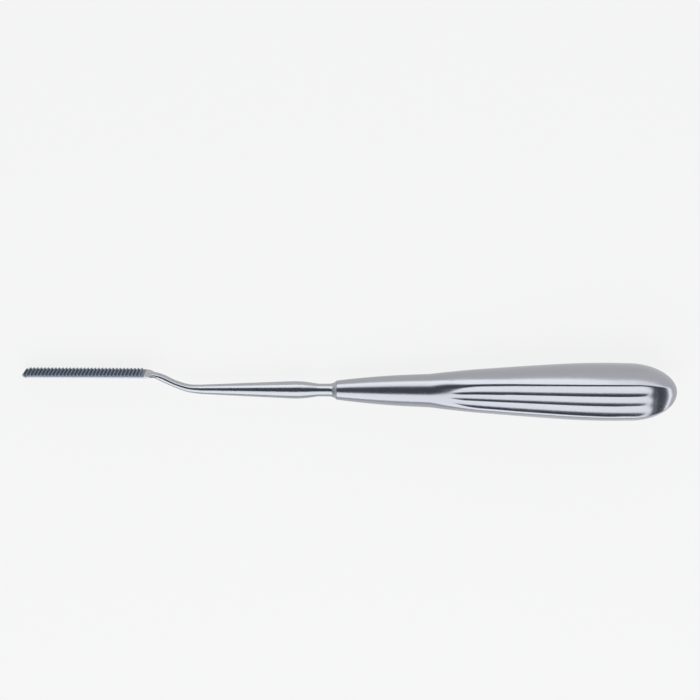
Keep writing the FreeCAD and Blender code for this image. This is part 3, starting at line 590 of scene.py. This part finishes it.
class Finish:
    # A material or the world, with one method that adds any node.
    def __init__(self, owner):
        self.owner = owner
        owner.use_nodes = True
        self.tree = owner.node_tree
        self.tree.nodes.clear()

    def add(self, kind, settings, sockets, out=0):
        # The settings come first, then the values or links of the sockets.
        node = self.tree.nodes.new(kind)
        for name, value in settings.items():
            if name == "stops":
                for element, (place, color) in zip(node.color_ramp.elements, value):
                    element.position = place
                    element.color = color
            else:
                setattr(node, name, value)
        for key, value in sockets.items():
            if isinstance(value, Signal):
                self.tree.links.new(value.socket, node.inputs[key])
            else:
                node.inputs[key].default_value = value
        return Signal(self, node.outputs[out]) if len(node.outputs) else None

    def noise(self, scale, detail, rough, turn=(0.0, 0.0, 0.0)):
        # On the piece's own coordinates in metres, turned, then stretched by the scale.
        here = self.add("ShaderNodeTexCoord", {}, {}, "Object")
        place = self.add("ShaderNodeMapping", {"vector_type": "POINT"},
                         {"Vector": here, "Rotation": turn, "Scale": scale})
        return self.add("ShaderNodeTexNoise", {"noise_dimensions": "3D"},
                        {"Vector": place, "Scale": 1.0, "Detail": detail, "Roughness": rough},
                        "Fac")

    def blend(self, factor, first, second):
        # A Mix node for colours: socket 0 is the factor, 6 and 7 the colours, output 2 the result.
        return self.add("ShaderNodeMix", {"data_type": "RGBA"},
                        {0: factor, 6: first, 7: second}, 2)

    def metal(self, color, rough, height, depth):
        # Bare steel whose bump has the given depth in metres.
        bump = self.add("ShaderNodeBump", {}, {"Strength": 1.0, "Distance": depth,
                                               "Height": height})
        shader = self.add("ShaderNodeBsdfPrincipled", {}, {
            "Base Color": color, "Metallic": 1.0, "Roughness": rough, "Normal": bump})
        self.add("ShaderNodeOutputMaterial", {}, {"Surface": shader})
        return self.owner


# Each noise has its scale per metre along the three axes, its detail and its roughness.
steel = {
    "handle": {
        "name": "handle_satin",
        "light": (0.415, 0.425, 0.455, 1.0),
        "dark": (0.335, 0.345, 0.378, 1.0),
        "roughness": 0.24,
        "lines": ((120.0, 2600.0, 2600.0), 2.0, 0.6),
    },
    "shank": {
        "name": "shank_satin",
        "light": (0.415, 0.428, 0.455, 1.0),
        "dark": (0.360, 0.372, 0.400, 1.0),
        "roughness": 0.22,
        "lines": ((140.0, 3000.0, 3000.0), 2.0, 0.6),
    },
    "streaks": ((18.0, 340.0, 340.0), 2.0, 0.5),
    "grain": ((2600.0, 2600.0, 2600.0), 2.0, 0.5),
    "streakShare": 0.7,            # of the shade, the lines have the rest
    "lineShare": 0.8,              # of the bump, the grain has the rest
    "lineSpread": 0.08,            # how much the lines change the roughness
    "streakSpread": 0.06,
    "scratchDepth": 0.0000035,     # metres
}

groundSteelAndPaintedHighlight = {
    "name": "tooth_ground_painted_highlight",
    "light": (0.200, 0.240, 0.300, 1.0),
    "dark": (0.100, 0.126, 0.170, 1.0),
    "roughness": 0.36,
    "grain": ((5200.0, 2600.0, 900.0), 3.0, 0.6),
    "grainSpread": 0.14,           # how much the grain changes the roughness
    "slant": 0.45,                 # run along the blade of a painted highlight line over its rise
    "paintedHighlightShade": 0.36,            # how much of the shade the painted highlight lines have
    "grainShade": 0.42,
    "leastShade": 0.11,
    "scratchDepth": 0.000007,      # metres
}


def satinSteel(look):
    # Stainless steel with fine grinding lines that run one way: long thin noise for the lines,
    # broader and still lengthwise noise for the faint streaks that polishing leaves.
    finish = Finish(bpy.data.materials.new(look["name"]))
    turn = (0.0, math.radians(lay["tilt"]), 0.0)
    lines = finish.noise(*look["lines"], turn)
    streaks = finish.noise(*steel["streaks"], turn)
    grain = finish.noise(*steel["grain"])
    shade = streaks * steel["streakShare"] + lines * (1 - steel["streakShare"])
    spread = steel["lineSpread"], steel["streakSpread"]
    rough = lines * spread[0] + streaks * spread[1] + (look["roughness"] - sum(spread) / 2)
    height = lines * steel["lineShare"] + grain * (1 - steel["lineShare"])
    color = finish.blend(shade, look["dark"], look["light"])
    return finish.metal(color, rough, height, steel["scratchDepth"])


def groundTeethAndPaintedHighlight(look):
    # Dark ground faces with a painted highlight, a lighter slanted line at each tooth where its
    # crest would catch the light:
    # a wave along the blade, skewed by the height, one period to a pitch, broken up by fine noise.
    finish = Finish(bpy.data.materials.new(look["name"]))
    here = finish.add("ShaderNodeTexCoord", {}, {}, "Object")
    x = finish.add("ShaderNodeSeparateXYZ", {}, {"Vector": here}, "X")
    y = finish.add("ShaderNodeSeparateXYZ", {}, {"Vector": here}, "Y")
    period = teeth["pitch"] / perMetre * math.cos(math.radians(lay["tilt"]))
    wave = (x + y * look["slant"]) * (2 * math.pi / period)
    # painted highlight: a lighter line at each tooth, where its crest would catch the light
    paintedHighlight = finish.add("ShaderNodeMath", {"operation": "SINE"}, {0: wave}) * 0.5 + 0.5
    grain = finish.noise(*look["grain"])
    shade = paintedHighlight * look["paintedHighlightShade"] + grain * look["grainShade"] + look["leastShade"]
    rough = grain * look["grainSpread"] + (look["roughness"] - look["grainSpread"] / 2)
    color = finish.blend(shade, look["dark"], look["light"])
    return finish.metal(color, rough, grain, look["scratchDepth"])


room = {
    "floorColors": ((0.905, 0.905, 0.905, 1.0), (0.925, 0.925, 0.925, 1.0)),
    "floorFibre": ((900.0, 900.0, 900.0), 3.0, 0.6),
    "floorRoughness": 0.85,
    "floorSpecular": 0.1,
    "floorGlow": (0.932, 0.932, 0.932, 1.0),  # what the floor shows by itself
    "glowShare": 0.90,             # the rest is lit and keeps the shadow
    "floorSize": 40.0,             # metres
    # Name, degrees from straight above towards +Y and towards +X, distance, width and length in
    # metres, radiance. The length lies along X.
    "softboxes": [
        ("back_softbox", -36.0, 0.0, 0.60, 0.665, 0.90, 1.80),
        ("front_softbox", 73.0, -15.0, 3.00, 2.305, 2.80, 1.55),
        ("bend_softbox", 73.0, 36.0, 3.00, 2.305, 2.90, 1.15),
        ("butt_softbox", 0.0, 85.0, 3.00, 0.735, 4.20, 2.0),
    ],
    "turnedFrom": 45.0,            # degrees towards +X past which it lies along Y
    "horizonColor": (0.55, 0.57, 0.61, 1.0),
    "zenithColor": (0.080, 0.092, 0.118, 1.0),
    "skyStops": (0.25, 0.62),      # sine of the height where the horizon's and zenith's tones hold
    "buttShade": 0.35,             # how much lower the dark of the sky reaches on the butt's side
    "rim": (0.05, 0.13),           # pale as the floor up to the first sine, grey past the other
}

view = {
    "lift": 20.0,                  # degrees from straight above towards +Y
    "distance": 0.4878,
    "roll": -0.32,                 # degrees
    "target": (0.00064, 0.01362, 0.0060),
    "lens": 78.69,
    "sensor": 36.0,
    "clipStart": 0.01,
}


def makeFloor():
    # Plain paper that is seen at a fixed tone and still keeps the shadow.
    finish = Finish(bpy.data.materials.new("floor_paper"))
    fibre = finish.noise(*room["floorFibre"])
    color = finish.blend(fibre, *room["floorColors"])
    lit = finish.add("ShaderNodeBsdfPrincipled", {}, {
        "Base Color": color, "Roughness": room["floorRoughness"],
        "Specular IOR Level": room["floorSpecular"]})
    glow = finish.add("ShaderNodeEmission", {}, {"Color": room["floorGlow"], "Strength": 1.0})
    seen = (finish.add("ShaderNodeLightPath", {}, {}, "Is Camera Ray")
            + finish.add("ShaderNodeLightPath", {}, {}, "Is Glossy Ray")
            + finish.add("ShaderNodeLightPath", {}, {}, "Is Transmission Ray"))
    shader = finish.add("ShaderNodeMixShader", {}, {0: seen * room["glowShare"], 1: lit, 2: glow})
    finish.add("ShaderNodeOutputMaterial", {}, {"Surface": shader})
    half = room["floorSize"] / 2
    corners = [(-half, -half, 0), (half, -half, 0), (half, half, 0), (-half, half, 0)]
    mesh = bpy.data.meshes.new("floor")
    mesh.from_pydata(corners, [], [(0, 1, 2, 3)])
    mesh.materials.append(finish.owner)
    floor = bpy.data.objects.new("floor", mesh)
    bpy.context.scene.collection.objects.link(floor)


def makeSoftboxes():
    # Each box stands in its own direction from the object and faces it, with a power that gives
    # its radiance: pi times its area times that.
    for name, zenith, aside, distance, across, along, radiance in room["softboxes"]:
        lamp = bpy.data.lights.new(name, "AREA")
        lamp.shape = "RECTANGLE"
        lamp.size = along
        lamp.size_y = across
        lamp.energy = math.pi * across * along * radiance
        up, over = math.radians(zenith), math.radians(aside)
        away = Vector((math.sin(over), math.sin(up) * math.cos(over),
                       math.cos(up) * math.cos(over)))
        length = Vector((0, 1, 0)) if aside > room["turnedFrom"] else Vector((1, 0, 0))
        upright = away.cross(length).normalized()
        turn = Matrix((upright.cross(away), upright, away)).transposed().to_4x4()
        box = bpy.data.objects.new(name, lamp)
        box.matrix_world = Matrix.Translation(away * distance) @ turn
        bpy.context.scene.collection.objects.link(box)


def makeSky():
    # Pale at the rim, then grey that darkens with height, lower down on the butt's side.
    sky = Finish(bpy.data.worlds.new("studio"))
    direction = sky.add("ShaderNodeTexCoord", {}, {}, "Generated")
    height = sky.add("ShaderNodeSeparateXYZ", {}, {"Vector": direction}, "Z")
    aside = sky.add("ShaderNodeSeparateXYZ", {}, {"Vector": direction}, "X")
    stops = list(zip(room["skyStops"], (room["horizonColor"], room["zenithColor"])))
    grey = sky.add("ShaderNodeValToRGB", {"stops": stops},
                   {"Fac": height + aside * room["buttShade"]})
    low, high = room["rim"]
    rim = sky.add("ShaderNodeMapRange", {}, {"Value": height, "From Min": low, "From Max": high,
                                             "To Min": 1.0, "To Max": 0.0})
    light = sky.add("ShaderNodeBackground", {}, {
        "Color": sky.blend(rim, grey, room["floorGlow"]), "Strength": 1.0})
    sky.add("ShaderNodeOutputWorld", {}, {"Surface": light})
    bpy.context.scene.world = sky.owner


def makeCamera():
    # It looks at the target from the distance, leaning by the lift, with the roll about that line.
    lift, roll = math.radians(view["lift"]), math.radians(view["roll"])
    back = Vector((0.0, math.sin(lift), math.cos(lift)))
    level = Vector((0, 1, 0)).cross(back).normalized()
    up = back.cross(level)
    right = math.cos(roll) * level + math.sin(roll) * up
    above = -math.sin(roll) * level + math.cos(roll) * up
    lens = bpy.data.cameras.new("photo_camera")
    lens.lens = view["lens"]
    lens.sensor_width = view["sensor"]
    lens.clip_start = view["clipStart"]
    camera = bpy.data.objects.new("photo_camera", lens)
    turn = Matrix((right, above, back)).transposed().to_4x4()
    place = Vector(view["target"]) + back * view["distance"]
    camera.matrix_world = Matrix.Translation(place) @ turn
    bpy.context.scene.collection.objects.link(camera)
    bpy.context.scene.camera = camera


handleSteel = satinSteel(steel["handle"])
shankSteel = satinSteel(steel["shank"])
toothSteel = groundTeethAndPaintedHighlight(groundSteelAndPaintedHighlight)
for make, finish in ((makeHandle, handleSteel), (makeShank, shankSteel), (makeBlade, shankSteel),
                     (makeTeeth, toothSteel)):
    make().data.materials.append(finish)
print("pieces and finishes made")
makeFloor()
makeSoftboxes()
makeSky()
makeCamera()
bpy.context.scene.view_settings.view_transform = "Standard"
print("room and camera made")
